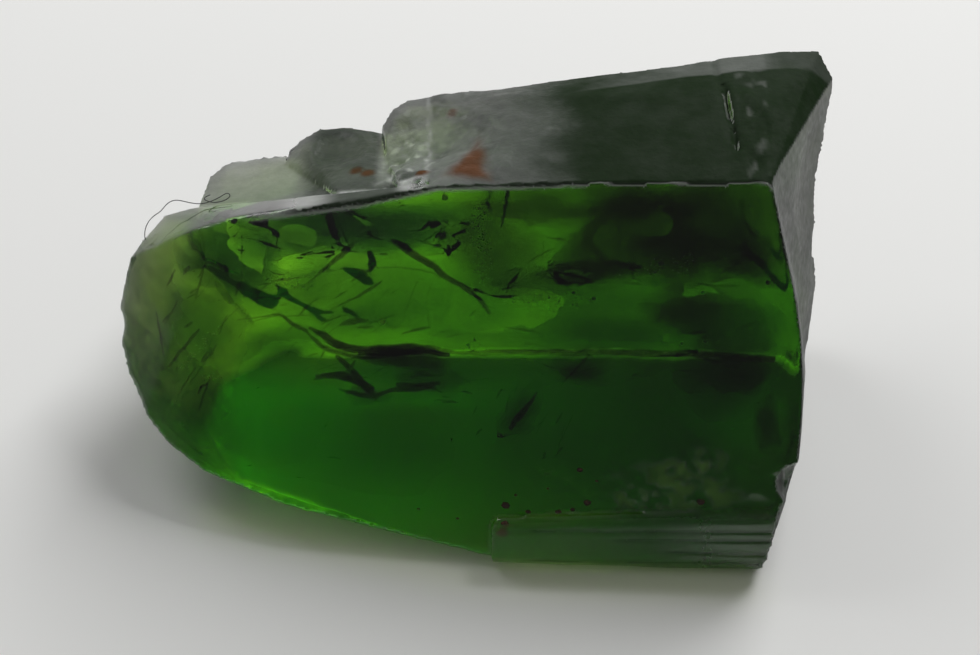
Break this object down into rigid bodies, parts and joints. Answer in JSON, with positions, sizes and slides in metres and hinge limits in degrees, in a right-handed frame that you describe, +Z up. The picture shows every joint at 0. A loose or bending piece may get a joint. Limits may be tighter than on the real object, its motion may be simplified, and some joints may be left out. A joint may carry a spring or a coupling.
{
  "type": "rough tourmaline crystal",
  "caption": "Broken piece of a green tourmaline crystal with a wide sloping break, a ridge, stepped terraces and a strip of striated skin, lying on a flat break.",
  "frame": {"origin": "middle of the bounding box at the height of the surface the stone lies on", "axes": "+X along the crystal from its rounded tip to its broken end, +Y from the wide sloping front to the back, +Z up"},
  "size_m": [0.0104, 0.0069, 0.0043],
  "materials": {
    "tourmaline": "clear deep emerald green stone, glossy on the smooth breaks, satin grey on the terraces, with a rust brown stain"
  },
  "bodies": {
    "root": {"tourmaline_crystal": "tourmaline"}
  },
  "joints": []
}
